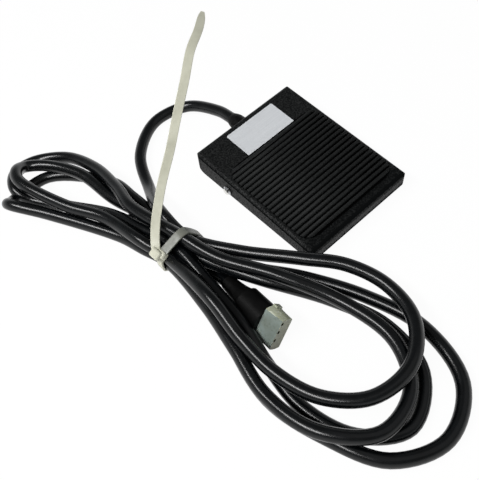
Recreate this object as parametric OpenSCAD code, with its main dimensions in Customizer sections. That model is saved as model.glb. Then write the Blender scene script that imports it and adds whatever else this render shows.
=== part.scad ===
// Treadle foot switch for a sewing machine: sheet-metal tread hinged on a stamped tray,
// with a bundled cord, its tie and its three-way plug. Millimetres, +Z up.
// Origin: near the centre of the tread in plan, on the floor. +Y is the heel, where the cord leaves.

/* [Tread] */
// Width of the tread over its side flanges
tread_w = 72.2; // [72:0.1:72.4]
// Length of the tread in plan
tread_l = 91.8; // [91.6:0.1:92]
// Height of the tread's top at the heel
heel_z = 22.2; // [22.2:0.1:22.3]
// Height of the tread's top at the toe
toe_z = 11.9; // [11.8:0.1:12]
// Sheet thickness of tread and tray
sheet = 1.4; // [1.2:0.1:1.5]
// Outside radius of the tread's bends
bend_r = 2.2; // [1.8:0.1:2.6]

/* [Pad] */
// Width of the rubber pad
pad_w = 66.5; // [64:0.5:67]
// Length of the rubber pad
pad_l = 62.5; // [60:0.5:63]
// Number of ribs across the pad
pad_ribs = 20; // [16:1:22]
// Height of the pad's ribs above its web
rib_h = 0.9; // [0.6:0.1:1.1]
// Corner radius of the pad
pad_r = 8; // [5:0.5:9]

/* [Pivot] */
// Diameter of the hinge pin
pin_d = 4; // [3.8:0.1:4]
// Diameter of the push-on nuts
retainer_d = 5.6; // [5.4:0.1:6.5]

/* [Inside] */
// Diameter of the return spring's foot
spring_d = 10; // [9:0.5:11]
// Wire of the return spring
spring_wire = 1; // [0.8:0.1:1.1]
// Turns of the return spring
spring_turns = 4.5; // [4:0.5:5]
// Length of the switch case
switch_l = 19.8; // [19.6:0.1:20]

/* [Cord] */
// Diameter of the cord
cord_d = 7; // [6.6:0.1:7]
// Diameter of the plug's shell
plug_d = 18.6; // [18.2:0.1:18.6]

/* [Hidden] */
$fn = 48;
eps = 0.02;
tilt = atan((heel_z - toe_z) / tread_l);
// centre of the tread sheet in plan
tread_mid = [0.4, 0.1];
mid_z = (heel_z + toe_z) / 2 - tread_mid[1] * tan(tilt);
slope_l = tread_l / cos(tilt);
tread_at = [tread_mid[0], tread_mid[1] / cos(tilt), 0];
pin_y = 20;
pin_z = 10.5;
pin_l = 76.4;
foot_h = 2.5;
floor_z = foot_h + sheet;
tray_w = 66.4;
tray_front = -41;
tray_rear = 42.5;
wall_top = 19.8;
exit_x = 2;
exit_z = 12;
pad_mid = -8.4;
pad_web = 0.7;
spring_y = -26;
stop_y = -36.5;
switch_y = -4;
switch_z = floor_z + 0.5;
switch_top = 12;
plunger_x = -2.6;
stud_end = 13.6;
hole_pitch = 9.5;
screw_z = 8.4;
bracket_y = switch_y - 3.2 - 1.2;
sx = [-1, 1];
// the plug: neck, turn about Z and X, and length of its pieces along its own axis
plug_at = [-74.7, -23.5, 7.8];
plug_turn = [-2.9, 0, -3.6];
plug_step = 15.5;
plug_shell = 31.5;
plug_face = 41;
contact_pitch = 5;
contact_off = 2.6;
flat_off = 4.2;
far_off = 4;
contact_roll = 52;
// the tie: where its plane meets the floor, and how far it leans towards the toe
tie_y = 11.2;
tie_lean = 12;
tie_w = 4.8;
tie_t = 1.2;
bundle = [[-72.7, 13.9], [-88.7, 15.2], [-79, 10.4], [-82.1, 16.5], [-77.4, 22], [-88.4, 8.2], [-69.3, 6.2],
  [-82.9, 4.6], [-76.1, 4.4]];
// centre line of the cord, from the grommet to the plug
route = [
  [2, 38, 12], [2, 59, 12], [1.8, 73, 10], [-5.9, 95.9, 5], [-26.5, 102.2, 3.6], [-50.3, 86.5, 4.1],
  [-63.1, 60.5, 4.4], [-74, 28.3, 18.5], [-73.2, 9.4, 13.6], [-60.3, -18.4, 14.5], [-43.4, -45.4, 17],
  [-30.6, -64.4, 16.5], [-24.9, -84.6, 14], [-31.1, -106.4, 15], [-51.3, -121, 17.2],
  [-72.6, -118.3, 15.5], [-88, -102.3, 15], [-94.1, -80, 15], [-93.7, -56.2, 16.9],
  [-91.4, -34.3, 23.4], [-88.6, 9.3, 14.6], [-92.3, 21.9, 18], [-96.5, 53.5, 15.5], [-107.2, 77.4, 16],
  [-116.6, 111.3, 19], [-113.2, 121.2, 17.5], [-106.3, 125.7, 12], [-96.4, 117.4, 10.5],
  [-86.3, 95.7, 10.5], [-83.7, 65.5, 10.2], [-78.1, 33.1, 11.9], [-79.1, 9.5, 10.1],
  [-74.2, -11.9, 12.5], [-63.4, -37, 11.8], [-44.5, -68.2, 3.9], [-37.4, -96.5, 3.9],
  [-44.1, -123.2, 3.5], [-67.6, -136.2, 3.5], [-86.8, -121.9, 3.5], [-94.2, -96.4, 3.5],
  [-91.1, -70.3, 4.6], [-86.9, -49, 11.5], [-84, -23.3, 13.7], [-82, 9.5, 16.3], [-86, 30.1, 14.2],
  [-91.4, 56.9, 10], [-103.4, 85.4, 4.5], [-115.5, 104, 6], [-120.5, 112.9, 11.3], [-118, 122, 11.6],
  [-110.7, 131.2, 8], [-98.4, 132.7, 5], [-83.7, 119.1, 6], [-77.6, 93.5, 10.5], [-79.4, 65.9, 15.8],
  [-83, 44.6, 19.7], [-78, 9.5, 21.7], [-72.8, -16.3, 20.4], [-58.8, -43.2, 17.7], [-44.5, -76, 10.5],
  [-43.4, -106, 10.4], [-57.6, -126.9, 10.4], [-80.6, -130.6, 11.5], [-99.7, -111.4, 13.9],
  [-103.7, -83.3, 11.3], [-97.9, -55.7, 11.5], [-91.8, -26.9, 9.1], [-88.4, 9.4, 8],
  [-92.7, 24.1, 10.2], [-96.6, 42, 9], [-117.2, 85.3, 11.5], [-128.9, 105.8, 13.5], [-126, 115.1, 5.2],
  [-99.9, 116.5, 3.6], [-75.3, 81.9, 3.7], [-73.8, 61.2, 4.5], [-72.3, 30.5, 3.5], [-69.3, 9.8, 6.1],
  [-62.5, -17.5, 4], [-44.5, -48.4, 3.5], [-31.8, -78.1, 3.5], [-25.9, -108.6, 3.5],
  [-35.8, -138.7, 3.5], [-60.5, -150.5, 3.5], [-85, -139.5, 4.7], [-97.5, -114.1, 7],
  [-102.8, -83, 4.7], [-94.8, -48.1, 3.7], [-84.9, -19.4, 3.5], [-82.7, 9.5, 4.5], [-86.5, 26.8, 5.1],
  [-90, 43, 3.5], [-88.5, 49.5, 3.5], [-84.5, 51, 3.5], [-81, 46.4, 3.6], [-79.6, 29, 3.5],
  [-75.9, 9.5, 4.3], [-75.3, -7.3, 3.6], [-74.7, -23.5, 7.8]];
// centre line and face direction of the tie's free tail
tail = [[-92.6, 9.3, 18.5], [-91, 11, 22.5], [-84, 18, 28], [-76, 23.5, 34], [-67, 29, 40],
  [-55, 34.5, 49], [-42, 41.5, 59], [-28.5, 48.5, 69], [-16, 57, 75.5], [-3.5, 65, 77],
  [8.5, 76, 76]];
tail_face = [[-0.8, -0.2, 0.5], [-0.5, -0.5, 0.7], [-0.2, -0.5, 0.8], [-0.2, -0.5, 0.8],
  [-0.2, -0.6, 0.8], [-0.2, -0.6, 0.7], [-0.2, -0.6, 0.8], [-0.2, -0.6, 0.8],
  [-0.1, -0.5, 0.8], [0.1, -0.5, 0.9], [0.3, -0.3, 0.9]];
wire_black_route = [[0.2, 38, 12.9], [-3, 33, 9.5], [-11, 24, 6], [-11.5, 12, 5.6], [-8, 4, 5.2]];
wire_white_route = [[3.8, 38, 12.9], [6, 32, 9.5], [4, 22, 6], [0.5, 12, 5.6], [0, 4, 5.2]];
wire_green_route = [[2, 38, 10], [7, 34, 7], [12, 31, 5.6], [15, 28.5, 4.9]];

// ---------- helpers ----------
function unit(v) = v / norm(v);
function tangent(p, i) = unit(p[min(i + 1, len(p) - 1)] - p[max(i - 1, 0)]);
// section frames carried along a path without twist
function carry(u, t) = unit(u - (u * t) * t);
function frames(p, i = 0, u = [0.1, 0.2, 1]) = i >= len(p) ? []
  : let (v = carry(u, tangent(p, i))) concat([v], frames(p, i + 1, v));
function ring(c, t, u, r, n) = [for (k = [0 : n - 1])
  c + r * (cos(360 * k / n) * u + sin(360 * k / n) * cross(t, u))];
function caps_and_sides(m, n) = concat(
  [[for (k = [0 : n - 1]) k]],
  [for (i = [0 : m - 2]) for (k = [0 : n - 1])
    [i * n + k, (i + 1) * n + k, (i + 1) * n + (k + 1) % n, i * n + (k + 1) % n]],
  [[for (k = [n - 1 : -1 : 0]) (m - 1) * n + k]]);
module tube(p, r, n) {
  f = frames(p);
  pts = [for (i = [0 : len(p) - 1]) each ring(p[i], tangent(p, i), f[i], r, n)];
  polyhedron(pts, caps_and_sides(len(p), n), convexity = 10);
}
module rounded_plate(w, l, h, r) {
  linear_extrude(h) union() {
    square([w - 2 * r, l], center = true);
    square([w, l - 2 * r], center = true);
    for (x = sx, y = sx) translate([x * (w / 2 - r), y * (l / 2 - r)]) circle(r);
  }
}
// upright profile with rounded top corners, top at 0
module arch(w, h, r) {
  translate([-w / 2, -h]) square([w, h - r]);
  translate([-w / 2 + r, -h]) square([w - 2 * r, h]);
  for (x = sx) translate([x * (w / 2 - r), -r]) circle(r);
}
module on_tread() translate([0, 0, mid_z]) rotate([tilt, 0, 0]) children();
module along_x(l) rotate([0, 90, 0]) linear_extrude(l, center = true) children();
module rod_x(x0, x1, y, z, d) translate([x0, y, z]) rotate([0, 90, 0]) cylinder(h = x1 - x0, d = d);
module rod_y(x, y0, y1, z, d) translate([x, y0, z]) rotate([-90, 0, 0]) cylinder(h = y1 - y0, d = d);

// ---------- tread ----------
module tread_block(w, l, h, r, corner) intersection() {
  rotate([90, 0, 0]) linear_extrude(l, center = true) arch(w, h, r);
  rotate([90, 0, 90]) linear_extrude(w, center = true) arch(l, h, r);
  translate([0, 0, -h]) rounded_plate(w, l, h, corner);
}
module flange_outline() difference() {
  polygon([[-60, 3.8], [-44, 3.8], [-30, 4.1], [25, 7], [41, 7.9], [60, 8.9], [60, 40], [-60, 40]]);
  // rounded heel corner with a plumb edge above it
  difference() {
    translate([40.7, 6]) square([10, 12.2]);
    translate([40.7, 13.3]) circle(5.4);
    translate([40, 13.3]) square([6.1, 6]);
  }
}
module tread_cover() color("dimgray") difference() {
  intersection() {
    on_tread() difference() {
      translate(tread_at) tread_block(tread_w, slope_l, 22, bend_r, 3.2);
      translate(tread_at - [0, 0, sheet])
        tread_block(tread_w - 2 * sheet, slope_l - 2 * sheet, 24, bend_r - sheet + 0.3, 1.8);
    }
    rotate([90, 0, 90]) linear_extrude(90, center = true) flange_outline();
  }
  // the heel flange is short, so that the tray's wall and the grommet clear it
  translate([tread_mid[0] - tread_w / 2 + sheet + 1.2, 41.5, 0])
    cube([tread_w - 2 * sheet - 2.4, 8, 18.2]);
  rod_x(-40, 40, pin_y, pin_z, pin_d + 0.1);
  translate([plunger_x, switch_y, 10]) cylinder(h = 10, d = 3);
}
module actuator_stud() color("silver") difference() {
  translate([plunger_x, switch_y, stud_end]) cylinder(h = 6, d = 3);
  on_tread() translate([-20, -20, 0]) cube([40, 40, 10]);
}
module tread_pad() color("black") on_tread() translate([0.5, pad_mid / cos(tilt), 0]) {
  pitch = pad_l / cos(tilt) / (pad_ribs + 0.3);
  l = pad_l / cos(tilt);
  difference() {
    rounded_plate(pad_w, l, pad_web + rib_h, pad_r);
    // grooves with sloped sides
    for (i = [1 : pad_ribs - 1])
      translate([0, -l / 2 + 0.15 * pitch + i * pitch, pad_web])
        rotate([90, 0, 90]) linear_extrude(pad_w - 1.2, center = true)
          polygon([[-0.45, 0], [0.45, 0], [0.8, rib_h + eps], [-0.8, rib_h + eps]]);
  }
}
module label() color("gainsboro") on_tread()
  translate([2, 32.5 / cos(tilt), 0]) rounded_plate(35, 19, 0.2, 0.8);

// ---------- tray ----------
module tray_side() {
  polygon([[tray_front, foot_h], [tray_rear, foot_h], [tray_rear, 7], [30, 7], [27.5, 9],
    [26.5, 12], [26.5, 13], [13.5, 13], [13.5, 12], [12.5, 8], [10, 5.6], [tray_front, 5.6]]);
  // round top of the ear
  translate([13.5, 10]) square([13, 3]);
  for (y = [15.5, 24.5]) translate([y, 13]) circle(2);
  translate([15.5, 13]) square([9, 2]);
}
module base_plate() color("slategray") difference() {
  union() {
    // floor with corners cut to the bends
    translate([0, (tray_front + tray_rear) / 2, foot_h])
      rounded_plate(tray_w, tray_rear - tray_front, sheet, 2);
    // side walls and ears
    for (x = sx) translate([x * (tray_w - sheet) / 2, 0, 0]) rotate([90, 0, 90])
      linear_extrude(sheet, center = true) intersection() {
        tray_side();
        translate([tray_front + 2, 0]) square([tray_rear - tray_front - 4, 30]);
      }
    // toe lip
    translate([-tray_w / 2 + 2, tray_front, foot_h]) cube([tray_w - 4, sheet, 3.4]);
    // heel wall, the tread's up-stop, with sloped shoulders
    translate([0, tray_rear, 0]) rotate([90, 0, 0]) linear_extrude(sheet)
      polygon([[-31.2, foot_h], [31.2, foot_h], [31.2, 12], [27, wall_top], [-27, wall_top],
        [-31.2, 12]]);
    // two long stiffening ribs pressed up from the floor
    for (x = [-22, 22]) translate([x, -12, floor_z - 0.2]) rounded_plate(5, 34, 1, 2.4);
  }
  for (x = sx) rod_x(x * 33.2 - 3, x * 33.2 + 3, pin_y, pin_z, 6);
  rod_y(exit_x, 38, 46, exit_z, 10);
  // hollow backs of the ribs
  for (x = [-22, 22]) translate([x, -12, foot_h - eps]) rounded_plate(3, 32, 1, 1.4);
  for (x = [-26, 26], y = [-34, 33]) translate([x, y, 2]) cylinder(h = 5, d = 4);
  for (x = [-8, 8]) translate([x, -13.2, 2]) cylinder(h = 5, d = 3);
  translate([0, spring_y, 2]) cylinder(h = 5, d = 3);
  translate([0, stop_y, 2]) cylinder(h = 5, d = 3);
  translate([18, 26, 2]) cylinder(h = 5, d = 3);
}
module hinge_pin() color("silver") difference() {
  translate([tread_mid[0], 0, 0]) rod_x(-pin_l / 2, pin_l / 2, pin_y, pin_z, pin_d);
  // chamfered ends
  for (x = sx) translate([tread_mid[0] + x * pin_l / 2, pin_y, pin_z]) rotate([0, x * 90, 0])
    rotate_extrude() polygon([[1.55, 0.1], [3, 0.1], [3, -0.55], [2.1, -0.55]]);
}
module pin_retainers() color("goldenrod") for (x = sx)
  translate([tread_mid[0] + x * (tread_w / 2 + 0.3), pin_y, pin_z]) rotate([0, x * 90, 0]) rotate_extrude()
    polygon([[pin_d / 2, 0.15], [retainer_d / 2 - 0.3, 0], [retainer_d / 2, 0.25],
      [retainer_d / 2, 0.5], [pin_d / 2 + 0.45, 0.75], [pin_d / 2, 1.1]]);
module hinge_bushings() color("ivory") for (x = sx)
  translate([x * 33.2, pin_y, pin_z]) rotate([0, -x * 90, 0]) rotate_extrude()
    polygon([[pin_d / 2 + 0.05, 0], [3, 0], [3, sheet], [4, sheet], [4, 2.4], [pin_d / 2 + 0.05, 2.4]]);
module rubber_feet() color("black") for (x = [-26, 26], y = [-34, 33])
  translate([x, y, 0]) rotate_extrude() polygon([[0, 0], [4.2, 0], [4.7, 0.4], [5, foot_h],
    [2, foot_h], [2, floor_z], [2.6, floor_z], [2.4, floor_z + 0.8], [0, floor_z + 0.8]]);

// ---------- return spring and stop ----------
module return_spring() color("silver") translate([0, spring_y, 0]) {
  n = 12;
  m = spring_turns * n;
  h = mid_z + spring_y * tan(tilt) - sheet / cos(tilt) - floor_z - spring_wire - 0.45;
  tube([for (i = [0 : m]) let (a = 360 * i / n, r = (spring_d - spring_wire) / 2 - 1.6 * i / m)
    [r * cos(a), r * sin(a), floor_z + spring_wire / 2 + 0.05 + h * i / m]],
    spring_wire / 2, 6);
}
module spring_seat() color("silver") translate([0, spring_y, 0]) rotate_extrude()
  polygon([[0, foot_h - 0.6], [2.4, foot_h - 0.6], [2.4, foot_h], [1.5, foot_h], [1.5, floor_z],
    [2.5, floor_z], [2.5, floor_z + 1], [1.4, floor_z + 2.4], [0, floor_z + 2.4]]);
module stop_bumper() color("black") translate([0, stop_y, 0]) rotate_extrude()
  polygon([[0, foot_h - 0.8], [2.6, foot_h - 0.8], [2.3, foot_h], [1.5, foot_h], [1.5, floor_z],
    [4, floor_z], [4, 5], [3.2, 7.5], [2.7, 8], [0, 8]]);

// ---------- switch ----------
module switch_case() color("maroon") difference() {
  translate([-switch_l / 2, switch_y - 3.2, switch_z]) cube([switch_l, 5.2, switch_top - switch_z]);
  translate([plunger_x, switch_y, 9]) cylinder(h = 5, d = 2.4);
  for (x = sx) rod_y(x * hole_pitch / 2, switch_y - 5, switch_y + 5, screw_z, 2.4);
  // slots for the terminals
  for (x = [-8, 0, 8]) translate([x - 1.7, switch_y - 0.4, 4.9]) cube([3.4, 5, 0.6]);
}
module switch_cover() color("black") difference() {
  translate([-switch_l / 2, switch_y + 2, switch_z]) cube([switch_l, 1.2, switch_top - switch_z]);
  for (x = sx) rod_y(x * hole_pitch / 2, switch_y - 5, switch_y + 5, screw_z, 2.4);
  for (x = [-8, 0, 8]) translate([x - 1.7, switch_y - 0.4, 4.9]) cube([3.4, 5, 0.6]);
}
module switch_plunger() color("red") translate([plunger_x, switch_y, 0]) rotate_extrude()
  polygon([[0, 10.4], [1.1, 10.4], [1.1, 12.9], [0.8, 13.3], [0.4, 13.4], [0, 13.4]]);
module switch_terminals() color("silver") for (x = [-8, 0, 8])
  translate([x - 1.6, switch_y, 4.95]) difference() {
    cube([3.2, 7.7, 0.5]);
    translate([1.6, 5.8, -1]) cylinder(h = 3, d = 1.5);
  }
module switch_bracket() color("silver") difference() {
  union() {
    translate([-12, bracket_y, floor_z]) cube([24, 1.2, 8]);
    translate([-12, bracket_y - 9, floor_z]) cube([24, 9.4, 1.2]);
    // stiffening gussets at the ends
    for (x = [-12, 10.8]) translate([x, bracket_y, floor_z]) rotate([90, 0, 90])
      linear_extrude(1.2) polygon([[0, 0], [0, 7], [-7, 1], [-7, 0]]);
  }
  for (x = sx) rod_y(x * hole_pitch / 2, bracket_y - 2, bracket_y + 3, screw_z, 2.4);
  for (x = [-8, 8]) translate([x, -13.2, 3]) cylinder(h = 5, d = 3);
}
module bracket_rivets() color("silver") for (x = [-8, 8]) translate([x, -13.2, 0])
  rotate_extrude() polygon([[0, foot_h - 0.6], [2.3, foot_h - 0.6], [2.5, foot_h], [1.5, foot_h],
    [1.5, floor_z + 1.2], [2.5, floor_z + 1.2], [2.2, floor_z + 1.9], [1.2, floor_z + 2.3],
    [0, floor_z + 2.3]]);
module switch_screws() color("silver") for (x = sx)
  translate([x * hole_pitch / 2, bracket_y, screw_z]) rotate([-90, 0, 0]) difference() {
    rotate_extrude() polygon([[0, -1.5], [1.4, -1.5], [2.2, -0.9], [2.2, 0], [1.15, 0], [1.15, 10.4],
      [0.8, 10.8], [0, 10.8]]);
    translate([-3, -0.3, -2]) cube([6, 0.6, 1.1]);
  }
module switch_nuts() color("goldenrod") for (x = sx)
  translate([x * hole_pitch / 2, switch_y + 3.2, screw_z]) rotate([-90, 0, 0]) difference() {
    cylinder(h = 1.8, r = 2.6, $fn = 6);
    translate([0, 0, -1]) cylinder(h = 4, d = 2.3);
  }

// ---------- leads and earth ----------
module wire_black() color("black") tube(wire_black_route, 0.8, 8);
module wire_white() color("white") tube(wire_white_route, 0.8, 8);
module wire_green() color("green") tube(wire_green_route, 0.8, 8);
module ring_terminal() color("goldenrod") difference() {
  union() {
    translate([18, 26, floor_z]) cylinder(h = 0.8, r = 3.2);
    translate([18, 26, floor_z]) rotate([0, 0, 140]) translate([1, -1.2, 0]) cube([6, 2.4, 0.8]);
  }
  translate([18, 26, 3]) cylinder(h = 4, d = 3);
}
module ground_screw() color("green") translate([18, 26, 0]) difference() {
  rotate_extrude() polygon([[0, foot_h - 0.9], [1.1, foot_h - 0.9], [1.5, foot_h - 0.4],
    [1.5, floor_z + 0.8], [2.9, floor_z + 0.8], [2.9, floor_z + 1.5], [1.8, floor_z + 2.4],
    [0, floor_z + 2.6]]);
  translate([-4, -0.4, floor_z + 1.9]) cube([8, 0.8, 2]);
}

// ---------- cord, grommet, plug, tie ----------
module strain_relief() color("black") translate([exit_x, 0, exit_z]) rotate([-90, 0, 0]) difference() {
  rotate_extrude() polygon([[cord_d / 2, 38.6], [6.2, 38.6], [6.2, tray_rear - sheet],
    [5, tray_rear - sheet], [5, tray_rear], [5.2, tray_rear], [5.2, 46], [4.9, 54.5],
    [4.4, 56.8], [cord_d / 2 + 0.1, 59], [cord_d / 2, 59]]);
}
module cord() color("black") tube(route, cord_d / 2, 8);
module on_plug() translate(plug_at) rotate(plug_turn) rotate([90, 0, 0]) children();
module connector_backshell() color("black") on_plug() difference() {
  rotate_extrude() polygon([[0, 0], [4.1, 0], [4.3, 2], [4.6, 6], [5.2, 10], [6.1, 13.5],
    [6.5, plug_step], [7.6, plug_step], [8, plug_shell], [0, plug_shell]]);
  // two shallow grooves, front and back of the grip
  for (a = [52, 232]) rotate([0, 0, a]) translate([8.6, 0, plug_step + 2])
    cylinder(h = plug_shell - plug_step - 4, r = 1, $fn = 24);
}
module contact_row() for (k = [-1 : 1]) rotate([0, 0, contact_roll])
  translate([k * contact_pitch, contact_off, 0]) children();
module connector_housing() color("whitesmoke") on_plug() difference() {
  union() {
    translate([0, 0, plug_shell]) rotate_extrude() polygon([[0, 0], [plug_d / 2 - 0.3, 0],
      [plug_d / 2, 0.3], [plug_d / 2, plug_face - plug_shell - 0.6],
      [plug_d / 2 - 0.6, plug_face - plug_shell], [0, plug_face - plug_shell]]);
    // keying tab on the rim
    rotate([0, 0, 38]) translate([plug_d / 2 - 1, -2, plug_shell - 0.8]) cube([1.4, 4, 4]);
  }
  // flats on both sides of the row of contacts
  rotate([0, 0, contact_roll + 90]) translate([flat_off, -12, plug_shell - 1])
    cube([8, 24, 20]);
  rotate([0, 0, contact_roll - 90]) translate([far_off, -12, plug_shell + 2.5])
    cube([8, 24, 20]);
  contact_row() translate([0, 0, plug_shell + 1.5]) cylinder(h = 12, r = 1.2);
}
module connector_contacts() color("goldenrod") on_plug() contact_row()
  translate([0, 0, plug_shell + 1.5]) difference() {
    cylinder(h = 4.5, r = 1.2);
    translate([0, 0, 0.6]) cylinder(h = 12, r = 0.8);
  }
module tie_loop(r) hull() for (b = bundle) translate(b) circle(r, $fn = 32);
module cable_tie() color("ivory") difference() {
  translate([0, tie_y, 0]) rotate([tie_lean, 0, 0]) translate([0, tie_w / 2, 0]) rotate([90, 0, 0])
    linear_extrude(tie_w) difference() {
      tie_loop(cord_d / 2 + tie_t + 0.1);
      tie_loop(cord_d / 2 + 0.1);
    }
  // flattened where it stands on the floor
  translate([-110, 0, -10]) cube([60, 24, 10.05]);
}
function strap_ring(c, t, f, w) = let (u = carry(f, t), s = cross(t, u))
  [c + w * s + 0.6 * u, c - w * s + 0.6 * u, c - w * s - 0.6 * u, c + w * s - 0.6 * u];
module tie_tail() color("ivory") {
  m = len(tail);
  pts = [for (i = [0 : m - 1]) each strap_ring(tail[i], tangent(tail, i), tail_face[i],
    i == m - 1 ? 1.2 : tie_w / 2)];
  polyhedron(pts, [for (f = caps_and_sides(m, 4)) each [[f[0], f[1], f[2]], [f[0], f[2], f[3]]]],
    convexity = 4);
}
module tie_head() color("ivory") translate([-92.3, 9.2, 19.4]) rotate([0, -35, 0]) difference() {
  translate([-1.2, -3.6, -3.8]) cube([4.8, 7.2, 7.6]);
  translate([0, -4.2, 4.6]) rotate([0, 45, 0]) cube([3, 9, 3]);
}

tread_cover();
tread_pad();
label();
actuator_stud();
base_plate();
hinge_pin();
pin_retainers();
hinge_bushings();
rubber_feet();
return_spring();
spring_seat();
stop_bumper();
switch_case();
switch_cover();
switch_plunger();
switch_terminals();
switch_bracket();
bracket_rivets();
switch_screws();
switch_nuts();
wire_black();
wire_white();
wire_green();
ring_terminal();
ground_screw();
strain_relief();
cord();
connector_backshell();
connector_housing();
connector_contacts();
cable_tie();
tie_tail();
tie_head();
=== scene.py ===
# Looks of a small treadle foot switch with its bundled cord, laid on a pale floor.
import math

import bmesh
import bpy
from mathutils import Matrix, Vector


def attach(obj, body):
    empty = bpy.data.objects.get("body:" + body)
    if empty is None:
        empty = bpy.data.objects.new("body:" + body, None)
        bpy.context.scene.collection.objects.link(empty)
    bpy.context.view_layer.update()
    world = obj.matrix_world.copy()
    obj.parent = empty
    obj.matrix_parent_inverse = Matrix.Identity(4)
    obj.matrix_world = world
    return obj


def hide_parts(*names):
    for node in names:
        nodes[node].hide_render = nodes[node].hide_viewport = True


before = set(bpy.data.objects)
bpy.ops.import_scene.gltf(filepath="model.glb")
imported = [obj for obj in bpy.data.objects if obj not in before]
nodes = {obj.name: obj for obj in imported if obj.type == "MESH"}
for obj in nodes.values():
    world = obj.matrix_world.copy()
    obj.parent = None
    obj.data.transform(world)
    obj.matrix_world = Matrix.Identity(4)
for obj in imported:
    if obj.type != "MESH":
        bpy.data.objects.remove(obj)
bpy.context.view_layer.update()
MM = 0.001

# ---------- cord, in millimetres ----------
CORD_D = 7.0
# steps of the smooth line between two points of the route
CORD_STEPS = 8
# centre line of the cord, from inside the grommet to the plug's neck
CORD_ROUTE = [
    (2, 38, 12), (2, 59, 12), (1.8, 73, 10), (-5.9, 95.9, 5), (-26.5, 102.2, 3.6),
    (-50.3, 86.5, 4.1), (-63.1, 60.5, 4.4), (-74, 28.3, 18.5), (-73.2, 9.4, 13.6),
    (-60.3, -18.4, 14.5), (-43.4, -45.4, 17), (-30.6, -64.4, 16.5), (-24.9, -84.6, 14),
    (-31.1, -106.4, 15), (-51.3, -121, 17.2), (-72.6, -118.3, 15.5), (-88, -102.3, 15),
    (-94.1, -80, 15), (-93.7, -56.2, 16.9), (-91.4, -34.3, 23.4), (-88.6, 9.3, 14.6),
    (-92.3, 21.9, 18), (-96.5, 53.5, 15.5), (-107.2, 77.4, 16), (-116.6, 111.3, 19),
    (-113.2, 121.2, 17.5), (-106.3, 125.7, 12), (-96.4, 117.4, 10.5), (-86.3, 95.7, 10.5),
    (-83.7, 65.5, 10.2), (-78.1, 33.1, 11.9), (-79.1, 9.5, 10.1), (-74.2, -11.9, 12.5),
    (-63.4, -37, 11.8), (-44.5, -68.2, 3.9), (-37.4, -96.5, 3.9), (-44.1, -123.2, 3.5),
    (-67.6, -136.2, 3.5), (-86.8, -121.9, 3.5), (-94.2, -96.4, 3.5), (-91.1, -70.3, 4.6),
    (-86.9, -49, 11.5), (-84, -23.3, 13.7), (-82, 9.5, 16.3), (-86, 30.1, 14.2),
    (-91.4, 56.9, 10), (-103.4, 85.4, 4.5), (-115.5, 104, 6), (-120.5, 112.9, 11.3),
    (-118, 122, 11.6), (-110.7, 131.2, 8), (-98.4, 132.7, 5), (-83.7, 119.1, 6),
    (-77.6, 93.5, 10.5), (-79.4, 65.9, 15.8), (-83, 44.6, 19.7), (-78, 9.5, 21.7),
    (-72.8, -16.3, 20.4), (-58.8, -43.2, 17.7), (-44.5, -76, 10.5), (-43.4, -106, 10.4),
    (-57.6, -126.9, 10.4), (-80.6, -130.6, 11.5), (-99.7, -111.4, 13.9), (-103.7, -83.3, 11.3),
    (-97.9, -55.7, 11.5), (-91.8, -26.9, 9.1), (-88.4, 9.4, 8), (-92.7, 24.1, 10.2),
    (-96.6, 42, 9), (-117.2, 85.3, 11.5), (-128.9, 105.8, 13.5), (-126, 115.1, 5.2),
    (-99.9, 116.5, 3.6), (-75.3, 81.9, 3.7), (-73.8, 61.2, 4.5), (-72.3, 30.5, 3.5),
    (-69.3, 9.8, 6.1), (-62.5, -17.5, 4), (-44.5, -48.4, 3.5), (-31.8, -78.1, 3.5),
    (-25.9, -108.6, 3.5), (-35.8, -138.7, 3.5), (-60.5, -150.5, 3.5), (-85, -139.5, 4.7),
    (-97.5, -114.1, 7), (-102.8, -83, 4.7), (-94.8, -48.1, 3.7), (-84.9, -19.4, 3.5),
    (-82.7, 9.5, 4.5), (-86.5, 26.8, 5.1), (-90, 43, 3.5), (-88.5, 49.5, 3.5), (-84.5, 51, 3.5),
    (-81, 46.4, 3.6), (-79.6, 29, 3.5), (-75.9, 9.5, 4.3), (-75.3, -7.3, 3.6),
    (-74.7, -23.5, 7.8)]

# ---------- tie, in millimetres ----------
TIE_WIDTH = 4.8
TIE_THICK = 1.2
# the loop's plane meets the floor at TIE_FOOT_Y and leans back towards the toe
TIE_FOOT_Y = 11.2
TIE_LEAN = math.radians(12)
# the loop in its plane (x, height), from the head over the top and back up to the head
TIE_LOOP = [
    (-91.5, 20.3), (-88.5, 21.6), (-84, 23.8), (-80, 25.7), (-77.4, 26.3), (-75.2, 25.6),
    (-73.6, 24), (-69.4, 17), (-66.3, 10.5), (-65.2, 6.3), (-65.9, 3.6), (-68.2, 2), (-75, 1.1),
    (-84, 1.1), (-90, 3.4), (-92.2, 6), (-92.8, 9), (-92.9, 16)]
LOOP_STEPS = 3
# stretches of the loop, from the head on, that lie on the black cord and look darker
STRETCHES_ON_CORD = 8
# the free tail, where its face points at each place, and how it narrows at its tip
TIE_TAIL = [(-92.6, 9.3, 18.5), (-91, 11, 22.5), (-84, 18, 28), (-76, 23.5, 34), (-67, 29, 40),
            (-55, 34.5, 49), (-42, 41.5, 59), (-28.5, 48.5, 69), (-16, 57, 75.5), (-3.5, 65, 77),
            (8.5, 76, 76)]
TIE_FACE = [(-0.8, -0.2, 0.5), (-0.5, -0.5, 0.7), (-0.2, -0.5, 0.8), (-0.2, -0.5, 0.8),
            (-0.2, -0.6, 0.8), (-0.2, -0.6, 0.7), (-0.2, -0.6, 0.8), (-0.2, -0.6, 0.8),
            (-0.1, -0.5, 0.8), (0.1, -0.5, 0.9), (0.3, -0.3, 0.9)]
TAIL_STEPS = 5
TIP_SHARES = (0.45, 0.75, 0.92, 0.98)
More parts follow.
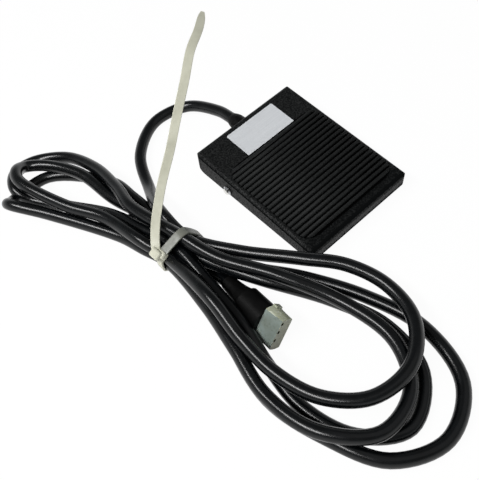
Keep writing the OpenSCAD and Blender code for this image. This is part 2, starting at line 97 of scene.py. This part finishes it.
# the head's two blocks: size, place and turn about Y in degrees, and how they narrow to the top
HEAD_BLOCKS = [((6.0, 7.4, 7.4), (-92.0, 8.7, 19.4), -35), ((4.6, 5.6, 4.4), (-90.8, 6.8, 19.8), -28)]
HEAD_TAPER = (0.84, 0.88, 1)

# ---------- tread and pad, in millimetres ----------
# the tread's top plane: height at the middle, rise per millimetre towards the heel
DECK_Z = 17.04
RISE = 0.1122
# strips of painted dark reflection and shade along the tread's bends and on its toe: axis, middle, half
# width, fading width and how far the colour and gloss are darkened
DARK_REFLECTION_STRIPS = [("X", -35.52, 0.1, 0.07, 1), ("X", 36.32, 0.1, 0.07, 1), ("Y", -44.2, 0.6, 0.4, 1),
               ("Y", -41, 2.4, 0.4, 0.22)]
# the pad: its outline in plan with the corners' radius, its middle, its web and its ribs
PAD_W = 66.5
PAD_L = 62.5
PAD_R = 8
PAD_AT = (0.5, -8.4)
PAD_WEB = 0.7
PAD_RIBS = 20
RIB_H = 0.9
# half a rib's width and the pad's plain margins, as shares of the ribs' pitch
RIB_HALF = 0.31
PAD_MARGIN = 0.15
# how far the ribs reach into the web, the steps over a rib, and how square its top is
RIB_ROOT = 0.15
RIB_STEPS = 8
RIB_SQUARE = 0.45

# ---------- plug, in millimetres along its own axis ----------
PLUG_D = 18.6
PLUG_AT = (-74.7, -23.5, 7.8)
# turns that lay the plug down on the cord: axis and degrees, outermost first
PLUG_TURNS = [("Z", -3.6), ("X", -2.9), ("X", 90), ("Z", 52)]
PLUG_SIDES = 72
# the block's sections: place on the axis, reach of the near flat and of the far flat
PLUG_STATIONS = [(31.5, 4.6, 9.3), (32.6, 4.6, 9.3), (33.9, 4.3, 3.6), (38, 3.7, 3.5), (42.2, 3.25, 3.4)]
# the near flat swells a little towards its middle
FLAT_SWELL = 0.3
SWELL_REACH = 6
# the keying tab on the rim, and how many degrees it is turned round the plug
TAB_SIZE = (1.6, 4.4, 2.6)
TAB_TURN = -14
TAB_AT = (PLUG_D / 2 - 0.3, 0, 32.4)
# the sockets' mouths: small ovals in a row across the end face
SOCKET_D = 1.1
SOCKET_STRETCH = 1.7
SOCKET_DEPTH = 6
SOCKET_PITCH = 5
SOCKET_AT = (1.7, 2.55, 39.3)

# ---------- stage and camera ----------
# the floor's half width in metres, and how far it lies under the object in millimetres
FLOOR_REACH = 3
FLOOR_DROP = 0.2
# share of the floor's white that is its own, so that the object's shadow still shows
FLOOR_GLOW = 0.96
# light of the room's walls and ceiling, and where one fades into the other, as the sine of the angle up
WALL_LIGHT = 0.95
CEILING_LIGHT = 0.16
FADE_FROM = 0.1
FADE_TO = 0.5
# the view: degrees round, up and rolled, the place on the floor that it is aimed at in millimetres,
# the distance in metres, and the lens and its film in millimetres
VIEW_TURN = (-30.62, 53.54, -13.85)
VIEW_AT = (-50.27, -3.5, 0)
VIEW_DISTANCE = 0.37209
LENS = 51.3
FILM = 36


# ---------- helpers ----------
def millimetres(p):
    """A place given in millimetres, in the frame's metres."""
    return Vector(p) * MM


def into_frame(bm, place):
    """Lays a mesh drawn in millimetres at its place in the frame."""
    bmesh.ops.transform(bm, verts=bm.verts, matrix=Matrix.Scale(MM, 4) @ place)


def smooth_line(points, steps):
    """A smooth line through the points, with the given number of steps between two of them."""
    p = [Vector(q) for q in points]
    p = [2 * p[0] - p[1]] + p + [2 * p[-1] - p[-2]]
    line = []
    for a, b, c, d in zip(p, p[1:], p[2:], p[3:]):
        t1 = (b - a).length ** 0.5
        t2 = t1 + (c - b).length ** 0.5
        t3 = t2 + (d - c).length ** 0.5
        for k in range(steps):
            t = t1 + (t2 - t1) * k / steps
            ab = a.lerp(b, t / t1)
            bc = b.lerp(c, (t - t1) / (t2 - t1))
            cd = c.lerp(d, (t - t2) / (t3 - t2))
            first = ab.lerp(bc, t / t2)
            second = bc.lerp(cd, (t - t1) / (t3 - t1))
            line.append(first.lerp(second, (t - t1) / (t2 - t1)))
    return line + [p[-2]]


def piece(name, bm, material, body):
    """A finished mesh piece with its finish, riding on a body."""
    bmesh.ops.recalc_face_normals(bm, faces=bm.faces)
    mesh = bpy.data.meshes.new(name)
    bm.to_mesh(mesh)
    bm.free()
    obj = bpy.data.objects.new(name, mesh)
    bpy.context.collection.objects.link(obj)
    mesh.materials.append(material)
    mesh.shade_smooth()
    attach(obj, body)
    return obj


def soften(obj, width, segments=2):
    """Rounds the edges of a piece that turn by more than 30 degrees."""
    bevel = obj.modifiers.new("rounded edges", "BEVEL")
    bevel.width = width * MM
    bevel.segments = segments
    bevel.limit_method = "ANGLE"
    bevel.angle_limit = math.radians(30)
    bevel.harden_normals = True


# ---------- finishes ----------
def finish_of(name, colour, roughness, metallic=0.0, specular=0.5):
    """A new finish with its plain values, its node tree and its shader."""
    material = bpy.data.materials.new(name)
    material.use_nodes = True
    tree = material.node_tree
    shader = tree.nodes["Principled BSDF"]
    shader.inputs["Base Color"].default_value = (*colour, 1)
    shader.inputs["Roughness"].default_value = roughness
    shader.inputs["Metallic"].default_value = metallic
    shader.inputs["Specular IOR Level"].default_value = specular
    return material, tree, shader


def grain(tree, scale, detail=4.0, stretch=(1, 1, 1)):
    """Fine noise fixed to the piece, with grains 1 / scale millimetres across."""
    place = tree.nodes.new("ShaderNodeTexCoord")
    sized = tree.nodes.new("ShaderNodeMapping")
    sized.inputs["Scale"].default_value = [s / MM for s in stretch]
    noise = tree.nodes.new("ShaderNodeTexNoise")
    noise.inputs["Scale"].default_value = scale
    noise.inputs["Detail"].default_value = detail
    tree.links.new(place.outputs["Object"], sized.inputs["Vector"])
    tree.links.new(sized.outputs["Vector"], noise.inputs["Vector"])
    return noise.outputs["Fac"]


def vary(tree, shader, fac, low, high, socket="Roughness"):
    """Lets the noise carry a value of the shader between low and high."""
    spread = tree.nodes.new("ShaderNodeMapRange")
    spread.inputs["From Min"].default_value = 0.3
    spread.inputs["From Max"].default_value = 0.7
    spread.inputs["To Min"].default_value = low
    spread.inputs["To Max"].default_value = high
    tree.links.new(fac, spread.inputs["Value"])
    tree.links.new(spread.outputs["Result"], shader.inputs[socket])


def tint(tree, shader, fac, colour_a, colour_b, low=0.35, high=0.65):
    """Lets the noise carry the colour between two tones."""
    ramp = tree.nodes.new("ShaderNodeValToRGB")
    ramp.color_ramp.elements[0].position = low
    ramp.color_ramp.elements[0].color = (*colour_a, 1)
    ramp.color_ramp.elements[1].position = high
    ramp.color_ramp.elements[1].color = (*colour_b, 1)
    tree.links.new(fac, ramp.inputs["Fac"])
    tree.links.new(ramp.outputs["Color"], shader.inputs["Base Color"])


def relief(tree, shader, fac, depth, strength=1.0):
    """Raises the surface by the noise, depth in millimetres."""
    bump = tree.nodes.new("ShaderNodeBump")
    bump.inputs["Distance"].default_value = depth * MM
    bump.inputs["Strength"].default_value = strength
    tree.links.new(fac, bump.inputs["Height"])
    tree.links.new(bump.outputs["Normal"], shader.inputs["Normal"])


def paint_bend_shade(tree, fac):
    """Holds the noise down in strips along the tread's bends and toe: painted dark reflection and shade
    there, in both colour and gloss.
    """
    place = tree.nodes.new("ShaderNodeTexCoord")
    axes = tree.nodes.new("ShaderNodeSeparateXYZ")
    tree.links.new(place.outputs["Object"], axes.inputs["Vector"])
    for axis, line, half, fade, shade_share in DARK_REFLECTION_STRIPS:
        off = tree.nodes.new("ShaderNodeMath")
        off.operation = "SUBTRACT"
        off.inputs[1].default_value = line * MM
        tree.links.new(axes.outputs[axis], off.inputs[0])
        span = tree.nodes.new("ShaderNodeMath")
        span.operation = "ABSOLUTE"
        tree.links.new(off.outputs["Value"], span.inputs[0])
        strip = tree.nodes.new("ShaderNodeMapRange")
        strip.inputs["From Min"].default_value = half * MM
        strip.inputs["From Max"].default_value = (half + fade) * MM
        strip.inputs["To Min"].default_value = 1 - shade_share
        tree.links.new(span.outputs["Value"], strip.inputs["Value"])
        left = tree.nodes.new("ShaderNodeMath")
        left.operation = "MULTIPLY"
        tree.links.new(fac, left.inputs[0])
        tree.links.new(strip.outputs["Result"], left.inputs[1])
        fac = left.outputs["Value"]
    return fac


def powder_coat(name, bent=False):
    """Black powder coat: a pebbled skin whose crests catch the light. On the bent tread, painted dark
    reflection and shade lie in strips along the bends.
    """
    material, tree, shader = finish_of(name, (0.006, 0.006, 0.006), 0.54, specular=0.15)
    pebbles = grain(tree, 1.1, detail=3.0)
    # where bent, the strips darken colour and gloss: painted dark reflection and shade at the bends
    crests = paint_bend_shade(tree, pebbles) if bent else pebbles
    tint(tree, shader, crests, (0.004, 0.0044, 0.0045), (0.0115, 0.0122, 0.0122), low=0.4, high=0.65)
    vary(tree, shader, crests, 0.0, 0.26, socket="Specular IOR Level")
    relief(tree, shader, pebbles, 0.25, strength=0.8)
    return material


def pad_rubber():
    """The pad's matt black rubber, faintly mottled."""
    material, tree, shader = finish_of("ribbed pad rubber", (0.008, 0.008, 0.008), 0.65, specular=0.18)
    fine = grain(tree, 0.9, detail=5.0)
    tint(tree, shader, fine, (0.005, 0.0055, 0.0055), (0.0125, 0.0135, 0.0135))
    vary(tree, shader, fine, 0.6, 0.75)
    relief(tree, shader, fine, 0.06, strength=0.5)
    return material


def painted_hollow_shade(name):
    """Painted shade for hollows: a near black, matt finish standing in for the shade that falls there.
    """
    material, tree, shader = finish_of(name, (0.0005, 0.0005, 0.0005), 0.9, specular=0.03)
    tint(tree, shader, grain(tree, 1.5), (0.0002, 0.0002, 0.0002), (0.0008, 0.0008, 0.0008))
    return material


def soft_black(name, tone, roughness, gloss=0.3):
    """Moulded black rubber or plastic with a satin skin."""
    material, tree, shader = finish_of(name, (tone, tone, tone), roughness, specular=gloss)
    skin = grain(tree, 1.0)
    tint(tree, shader, grain(tree, 0.2, detail=3.0), (tone * 0.8,) * 3, (tone * 1.3,) * 3)
    vary(tree, shader, skin, roughness - 0.08, roughness + 0.08)
    relief(tree, shader, skin, 0.05, strength=0.4)
    return material


def label_foil():
    """Silver foil, brushed along the label."""
    material, tree, shader = finish_of("silver label foil", (0.55, 0.57, 0.60), 0.5, specular=0.3)
    brushed = grain(tree, 1.5, detail=3.0, stretch=(0.04, 1, 1))
    tint(tree, shader, brushed, (0.55, 0.565, 0.585), (0.59, 0.605, 0.625))
    vary(tree, shader, grain(tree, 0.3, detail=3.0), 0.42, 0.55)
    return material


def bright_metal(name, colour, roughness):
    """Plated or turned metal with fine scratches."""
    material, tree, shader = finish_of(name, colour, roughness, metallic=1.0)
    scratches = grain(tree, 2.0)
    tint(tree, shader, scratches, [c * 0.85 for c in colour], [min(1, c * 1.08) for c in colour])
    vary(tree, shader, grain(tree, 0.8, detail=3.0), roughness * 0.75, roughness * 1.4)
    relief(tree, shader, scratches, 0.02, strength=0.3)
    return material


def cord_sheath():
    """The cord's glossy black sheath, a little worn."""
    material, tree, shader = finish_of("glossy cord sheath", (0.002, 0.0024, 0.003), 0.26, specular=0.38)
    worn = grain(tree, 0.22, detail=2.0)
    tint(tree, shader, worn, (0.0006, 0.0009, 0.0012), (0.0014, 0.002, 0.0026))
    vary(tree, shader, worn, 0.23, 0.27)
    relief(tree, shader, grain(tree, 0.1, detail=1.0), 0.05, strength=0.1)
    return material


def height_blend(tree, fac, low, high):
    """The noise, let in with the height above the floor, from low to high millimetres."""
    place = tree.nodes.new("ShaderNodeTexCoord")
    parts = tree.nodes.new("ShaderNodeSeparateXYZ")
    climb = tree.nodes.new("ShaderNodeMapRange")
    climb.inputs["From Min"].default_value = low * MM
    climb.inputs["From Max"].default_value = high * MM
    both = tree.nodes.new("ShaderNodeMath")
    both.operation = "MULTIPLY"
    tree.links.new(place.outputs["Object"], parts.inputs["Vector"])
    tree.links.new(parts.outputs["Z"], climb.inputs["Value"])
    tree.links.new(climb.outputs["Result"], both.inputs[0])
    tree.links.new(fac, both.inputs[1])
    return both.outputs[0]


def natural_nylon(name, light, deep, clear, roughness=0.4, shade_height=None):
    """Milky nylon: light passes a little way in. Given a shade height, painted shade darkens it towards
    the floor, up to that height in millimetres.
    """
    material, tree, shader = finish_of(name, light, roughness, specular=0.4)
    stain = grain(tree, 0.10, detail=3.0)
    if shade_height:
        # painted shade: darker towards the floor, mixed with the random stain
        tint(tree, shader, height_blend(tree, stain, 0, shade_height), deep, light, low=0.1, high=0.5)
    else:
        tint(tree, shader, stain, deep, light, low=0.3, high=0.6)
    shader.inputs["Subsurface Weight"].default_value = clear
    shader.inputs["Subsurface Radius"].default_value = (1.0, 0.9, 0.7)
    shader.inputs["Subsurface Scale"].default_value = 1.5 * MM
    vary(tree, shader, grain(tree, 0.5, detail=3.0), roughness - 0.08, roughness + 0.1)
    relief(tree, shader, grain(tree, 0.7, detail=2.0), 0.03, strength=0.3)
    return material


def plain_plastic(name, colour):
    """Evenly coloured plastic, as on a core's insulation."""
    material, tree, shader = finish_of(name, colour, 0.35)
    fine = grain(tree, 1.2, detail=3.0)
    patches = grain(tree, 0.3, detail=3.0)
    tint(tree, shader, patches, [c * 0.9 for c in colour], [min(1, c * 1.1) for c in colour])
    vary(tree, shader, fine, 0.29, 0.43)
    return material


def dress_nodes():
    """Gives every CAD node that stays in the scene its finish."""
    rubber = soft_black("moulded rubber", 0.007, 0.6)
    moulded = soft_black("moulded black plastic", 0.002, 0.45, gloss=0.1)
    zinc = bright_metal("zinc plate", (0.55, 0.56, 0.58), 0.32)
    steel = bright_metal("turned steel", (0.62, 0.62, 0.62), 0.25)
    yellow_zinc = bright_metal("yellow zinc", (0.66, 0.52, 0.24), 0.3)
    nickel = bright_metal("bright pin nickel", (0.78, 0.77, 0.74), 0.16)
    bush_nylon = natural_nylon("bush nylon", (0.75, 0.72, 0.64), (0.66, 0.62, 0.52), 0.3)
    finishes = {
        # the tread's coat carries painted dark reflection and shade along its bends
        powder_coat("black powder coat", bent=True): ["tread_cover"],
        powder_coat("black tray coat"): ["base_plate"],
        label_foil(): ["label"],
        rubber: ["rubber_feet", "stop_bumper"],
        moulded: ["strain_relief", "connector_backshell", "switch_case", "switch_cover"],
        zinc: ["pin_retainers", "switch_bracket", "bracket_rivets", "switch_screws", "spring_seat"],
        steel: ["actuator_stud", "return_spring", "switch_terminals"],
        yellow_zinc: ["switch_nuts", "ring_terminal"],
        nickel: ["hinge_pin"],
        bush_nylon: ["hinge_bushings"],
        plain_plastic("plunger plastic", (0.5, 0.04, 0.03)): ["switch_plunger"],
        plain_plastic("black core", (0.012, 0.012, 0.012)): ["wire_black"],
        plain_plastic("white core", (0.75, 0.75, 0.72)): ["wire_white"],
        plain_plastic("green core", (0.03, 0.25, 0.07)): ["wire_green"],
        bright_metal("green passivate", (0.10, 0.42, 0.16), 0.35): ["ground_screw"],
    }
    for material, names in finishes.items():
        for name in names:
            mesh = nodes[name].data
            mesh.materials.clear()
            mesh.materials.append(material)


# ---------- pad ----------
def rib_profile(length):
    """The pad's section along its length: (y, height) over the web and the round-topped ribs."""
    pitch = length / (PAD_RIBS + 2 * PAD_MARGIN)
    profile = [(-length / 2, PAD_WEB)]
    for rib in range(PAD_RIBS):
        middle = -length / 2 + PAD_MARGIN * pitch + (rib + 0.5) * pitch
        for step in range(RIB_STEPS + 1):
            turn = math.pi * step / RIB_STEPS
            rise = (RIB_H + RIB_ROOT) * math.sin(turn) ** RIB_SQUARE
            profile.append((middle - RIB_HALF * pitch * math.cos(turn), PAD_WEB - RIB_ROOT + rise))
    profile.append((length / 2, PAD_WEB))
    return profile


def ribbed_pad():
    """The rubber pad: round-topped ribs between flat grooves in painted black shade, in a rounded
    outline.
    """
    tilt = math.atan2(RISE, 1)
    length = PAD_L / math.cos(tilt)
    bm = bmesh.new()
    edge = None
    for y, z in rib_profile(length):
        past = max(0, abs(y) - (length / 2 - PAD_R))
        half = PAD_W / 2 - PAD_R + math.sqrt(max(0, PAD_R ** 2 - past ** 2))
        if edge is None:
            edge = bm.edges.new([bm.verts.new((side * half, y, z)) for side in (-1, 1)])
            continue
        made = bmesh.ops.extrude_edge_only(bm, edges=[edge])["geom"]
        edge = next(g for g in made if isinstance(g, bmesh.types.BMEdge))
        for v in edge.verts:
            v.co = (math.copysign(half, v.co.x), y, z)
    skin = list(bm.faces)
    # groove floors and the ribs' lower flanks, below this height, get the near black finish: painted
    # shade
    painted_shade_line = PAD_WEB + 0.55 * RIB_H
    for face in skin:
        face.material_index = 0 if max(v.co.z for v in face.verts) > painted_shade_line else 1
    made = bmesh.ops.extrude_face_region(bm, geom=skin)["geom"]
    for g in made:
        if isinstance(g, bmesh.types.BMVert):
            g.co.z = 0
    across, along = PAD_AT
    place = Matrix.Translation((0, 0, DECK_Z)) @ Matrix.Rotation(tilt, 4, "X")
    into_frame(bm, place @ Matrix.Translation((across, along / math.cos(tilt), 0)))
    obj = piece("ribbed_pad", bm, pad_rubber(), "tread")
    obj.data.materials.append(painted_hollow_shade("painted groove shade"))
    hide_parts("tread_pad")


# ---------- plug ----------
def plug_place():
    """Where the plug lies on the cord's end, with its axis along the cord."""
    place = Matrix.Translation(PLUG_AT)
    for axis, degrees in PLUG_TURNS:
        place = place @ Matrix.Rotation(math.radians(degrees), 4, axis)
    return place


def rounded_housing():
    """The plug's face block: a round bar with two broad flats, and a keying tab at its rim."""
    bm = bmesh.new()
    radius = PLUG_D / 2
    made = bmesh.ops.create_circle(bm, cap_ends=True, radius=radius, segments=PLUG_SIDES)["verts"]
    rounds = []
    for k, (t, near, far) in enumerate(PLUG_STATIONS):
        if k:
            grown = bmesh.ops.extrude_face_region(bm, geom=[end])["geom"]
            made = [g for g in grown if isinstance(g, bmesh.types.BMVert)]
            if k > 1:
                bm.faces.remove(end)
        end = next(f for f in bm.faces if set(f.verts) == set(made))
        for n, v in enumerate(sorted(made, key=lambda v: math.atan2(v.co.y, v.co.x))):
            turn = 2 * math.pi * n / PLUG_SIDES
            u, w = radius * math.cos(turn), radius * math.sin(turn)
            swell = FLAT_SWELL * math.cos(u / SWELL_REACH)
            rounds.append((v, u, max(-far, min(near + swell, w)), t))
            v.co.z = 0.001 * k
    for v, u, w, t in rounds:
        v.co = (u, w, t)
    bm.normal_update()
    # painted light: the broad flat gets its own bluer, darker copy of the housing's nylon, standing for
    # how the light falls on that side
    for face in bm.faces:
        broad = abs(face.normal.y) > 0.9 and face.calc_center_median().y > 0
        face.material_index = 1 if broad else 0
    tab = bmesh.ops.create_cube(bm, size=1)["verts"]
    bmesh.ops.scale(bm, vec=Vector(TAB_SIZE), verts=tab)
    turned = Matrix.Rotation(math.radians(TAB_TURN), 4, "Z")
    bmesh.ops.transform(bm, verts=tab, matrix=turned @ Matrix.Translation(TAB_AT))
    into_frame(bm, plug_place())
    nylon = natural_nylon("plug housing nylon", (0.345, 0.365, 0.275), (0.17, 0.17, 0.1), 0.3,
                          roughness=0.32, shade_height=12)
    broad_side_painted_light = natural_nylon("plug housing nylon, broad side, painted light", (0.205, 0.245, 0.225),
                                (0.10, 0.108, 0.08), 0.3, roughness=0.32, shade_height=12)
    obj = piece("rounded_housing", bm, nylon, "base")
    obj.data.materials.append(broad_side_painted_light)
    obj.data.set_sharp_from_angle(angle=math.radians(25))
    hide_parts("connector_housing")
    return obj


def socket_mouths():
    """The three dark mouths in a row in the plug's face."""
    bm = bmesh.new()
    radius = SOCKET_D / 2
    u, w, t = SOCKET_AT
    for k in (-1, 0, 1):
        mouth = bmesh.ops.create_cone(bm, cap_ends=True, segments=24, radius1=radius, radius2=radius,
                                      depth=SOCKET_DEPTH)["verts"]
        bmesh.ops.scale(bm, vec=Vector((SOCKET_STRETCH, 1, 1)), verts=mouth)
        bmesh.ops.transform(bm, verts=mouth, matrix=Matrix.Translation((SOCKET_PITCH * k + u, w, t)))
    into_frame(bm, plug_place())
    obj = piece("socket_mouths", bm, painted_hollow_shade("socket mouth shadow"), "base")
    obj.data.set_sharp_from_angle(angle=math.radians(40))
    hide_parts("connector_contacts")
    return obj


# ---------- cord and tie ----------
def lay_cord():
    """The sheath as one round curve through the bundle, and its length."""
    line = smooth_line([millimetres(p) for p in CORD_ROUTE], CORD_STEPS)
    curve = bpy.data.curves.new("mains_cord", "CURVE")
    curve.dimensions = "3D"
    curve.bevel_depth = CORD_D / 2 * MM
    curve.bevel_resolution = 12
    curve.use_fill_caps = True
    spline = curve.splines.new("POLY")
    spline.points.add(len(line) - 1)
    for point, place in zip(spline.points, line):
        point.co = (*place, 1)
    spline.use_smooth = True
    curve.materials.append(cord_sheath())
    cord = bpy.data.objects.new("mains_cord", curve)
    bpy.context.collection.objects.link(cord)
    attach(cord, "base")
    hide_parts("cord")
    length = sum((b - a).length for a, b in zip(line, line[1:]))
    return cord, length


def tie_strap(nylon, nylon_on_cords):
    """One ribbon: from the head round the bundle, back through the head and out as the tail."""
    lean, rise = math.sin(TIE_LEAN), math.cos(TIE_LEAN)
    bent = [(x, TIE_FOOT_Y - height * lean, height * rise) for x, height in TIE_LOOP]
    loop = smooth_line([millimetres(p) for p in bent], LOOP_STEPS)
    tail = smooth_line([millimetres(p) for p in TIE_TAIL], TAIL_STEPS)
    middle = loop + tail
    across = [Vector((0, rise, lean))] * len(loop)
    for k in range(len(tail)):
        along = tail[min(k + 1, len(tail) - 1)] - tail[max(k - 1, 0)]
        after = min(k // TAIL_STEPS + 1, len(TIE_FACE) - 1)
        share = k / TAIL_STEPS - (after - 1)
        face = Vector(TIE_FACE[after - 1]).lerp(Vector(TIE_FACE[after]), share)
        across.append(along.cross(face).normalized())
    if across[len(loop)].y < 0:
        across[len(loop):] = [-side for side in across[len(loop):]]
    half = [TIE_WIDTH / 2 * MM] * len(middle)
    for k, share in enumerate(TIP_SHARES):
        half[-1 - k] *= share
    bm = bmesh.new()
    edge = bm.edges.new([bm.verts.new(middle[0] + s * across[0] * half[0]) for s in (-1, 1)])
    for k in range(1, len(middle)):
        made = bmesh.ops.extrude_edge_only(bm, edges=[edge])["geom"]
        edge = next(g for g in made if isinstance(g, bmesh.types.BMEdge))
        for v in edge.verts:
            reach = half[k] if (v.co - middle[k - 1]).dot(across[k - 1]) > 0 else -half[k]
            v.co = middle[k] + across[k] * reach
    bm.faces.ensure_lookup_table()
    for face in bm.faces[:LOOP_STEPS * STRETCHES_ON_CORD]:
        face.material_index = 1
    obj = piece("tie_strap", bm, nylon, "base")
    obj.data.materials.append(nylon_on_cords)
    wall = obj.modifiers.new("strap thickness", "SOLIDIFY")
    wall.thickness = TIE_THICK * MM
    wall.offset = 0
    soften(obj, 0.3)
    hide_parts("cable_tie", "tie_tail")
    return obj


def tie_lock(nylon):
    """The head: a rounded block, with the thick collar where the strap runs in."""
    bm = bmesh.new()
    for size, place, degrees in HEAD_BLOCKS:
        block = bmesh.ops.create_cube(bm, size=1)["verts"]
        bmesh.ops.scale(bm, vec=Vector(size) * MM, verts=block)
        top = [v for v in block if v.co.z > 0]
        bmesh.ops.scale(bm, vec=Vector(HEAD_TAPER), verts=top)
        turned = Matrix.Rotation(math.radians(degrees), 4, "Y")
        bmesh.ops.transform(bm, verts=block, matrix=Matrix.Translation(millimetres(place)) @ turned)
    obj = piece("tie_lock", bm, nylon, "base")
    soften(obj, 1.25, segments=5)
    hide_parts("tie_head")
    return obj


# ---------- stage ----------
def pale_paper():
    """White paper: it glows for the camera and for mirrored rays, and is plain paper for the light."""
    material = bpy.data.materials.new("pale paper")
    material.use_nodes = True
    tree = material.node_tree
    shader = tree.nodes["Principled BSDF"]
    shader.inputs["Base Color"].default_value = (0.9, 0.9, 0.9, 1)
    shader.inputs["Roughness"].default_value = 0.9
    shader.inputs["Specular IOR Level"].default_value = 0.1
    glow = tree.nodes.new("ShaderNodeEmission")
    glow.inputs["Color"].default_value = (1, 1, 1, 1)
    path = tree.nodes.new("ShaderNodeLightPath")
    seen = path.outputs["Is Camera Ray"]
    for ray in ("Is Glossy Ray", "Is Transmission Ray"):
        either = tree.nodes.new("ShaderNodeMath")
        either.operation = "MAXIMUM"
        tree.links.new(seen, either.inputs[0])
        tree.links.new(path.outputs[ray], either.inputs[1])
        seen = either.outputs["Value"]
    share = tree.nodes.new("ShaderNodeMath")
    share.operation = "MULTIPLY"
    share.inputs[1].default_value = FLOOR_GLOW
    mix = tree.nodes.new("ShaderNodeMixShader")
    out = tree.nodes["Material Output"]
    tree.links.new(seen, share.inputs[0])
    tree.links.new(share.outputs["Value"], mix.inputs["Fac"])
    tree.links.new(shader.outputs["BSDF"], mix.inputs[1])
    tree.links.new(glow.outputs["Emission"], mix.inputs[2])
    tree.links.new(mix.outputs["Shader"], out.inputs["Surface"])
    return material


def pale_floor():
    """A wide sheet of paper just under the object."""
    bm = bmesh.new()
    bmesh.ops.create_grid(bm, x_segments=1, y_segments=1, size=FLOOR_REACH)
    mesh = bpy.data.meshes.new("floor")
    bm.to_mesh(mesh)
    bm.free()
    floor = bpy.data.objects.new("floor", mesh)
    bpy.context.collection.objects.link(floor)
    floor.location.z = -FLOOR_DROP * MM
    mesh.materials.append(pale_paper())


def studio_world():
    """Pale walls all round, fading to a dim ceiling."""
    world = bpy.data.worlds.new("studio")
    world.use_nodes = True
    tree = world.node_tree
    sky = tree.nodes["Background"]
    sky.inputs["Color"].default_value = (0.97, 0.995, 1, 1)
    way = tree.nodes.new("ShaderNodeTexCoord")
    parts = tree.nodes.new("ShaderNodeSeparateXYZ")
    fade = tree.nodes.new("ShaderNodeMapRange")
    fade.inputs["From Min"].default_value = FADE_FROM
    fade.inputs["From Max"].default_value = FADE_TO
    fade.inputs["To Min"].default_value = WALL_LIGHT
    fade.inputs["To Max"].default_value = CEILING_LIGHT
    tree.links.new(way.outputs["Generated"], parts.inputs["Vector"])
    tree.links.new(parts.outputs["Z"], fade.inputs["Value"])
    tree.links.new(fade.outputs["Result"], sky.inputs["Strength"])
    bpy.context.scene.world = world


def lamp(name, place, target, size, power, width=None):
    """A soft lamp aimed at a target in metres: a square one, or a strip where a width is given."""
    light = bpy.data.lights.new(name, "AREA")
    light.energy = power
    light.size = size
    if width:
        light.shape = "RECTANGLE"
        light.size_y = width
    obj = bpy.data.objects.new(name, light)
    obj.location = place
    obj.rotation_euler = (Vector(target) - Vector(place)).to_track_quat("-Z", "Y").to_euler()
    bpy.context.collection.objects.link(obj)


def place_camera():
    """Camera from above the toe's left, rolled to the left."""
    azimuth, elevation, roll = (math.radians(degrees) for degrees in VIEW_TURN)
    forward = Vector((-math.sin(azimuth) * math.cos(elevation), math.cos(azimuth) * math.cos(elevation),
                      -math.sin(elevation)))
    level = Vector((math.cos(azimuth), math.sin(azimuth), 0))
    upward = level.cross(forward)
    right = level * math.cos(roll) + upward * math.sin(roll)
    up = upward * math.cos(roll) - level * math.sin(roll)
    spot = millimetres(VIEW_AT) - forward * VIEW_DISTANCE
    lens = bpy.data.cameras.new("camera")
    lens.sensor_width = FILM
    lens.lens = LENS
    lens.clip_start = 0.01
    lens.dof.use_dof = False
    camera = bpy.data.objects.new("camera", lens)
    turn = Matrix((right, up, -forward)).transposed().to_4x4()
    camera.matrix_world = Matrix.Translation(spot) @ turn
    bpy.context.collection.objects.link(camera)
    bpy.context.scene.camera = camera


place_camera()
cord, cord_length = lay_cord()
tie_nylon = natural_nylon("tie nylon", (0.51, 0.505, 0.41), (0.42, 0.415, 0.33), 0)
dark_nylon = natural_nylon("tie nylon on black cord", (0.15, 0.155, 0.132), (0.12, 0.12, 0.10), 0)
strap = tie_strap(tie_nylon, dark_nylon)
lock = tie_lock(tie_nylon)
ribbed_pad()
housing = rounded_housing()
sockets = socket_mouths()
dress_nodes()
pale_floor()
studio_world()
lamp("key", place=(-0.6, 0.05, 0.84), target=(-0.06, 0, 0), size=0.9, power=11.5, width=0.16)
lamp("front", place=(0.35, -0.45, 0.95), target=(-0.02, 0, 0), size=1.0, power=0.8)
bpy.context.scene.view_settings.view_transform = "Standard"
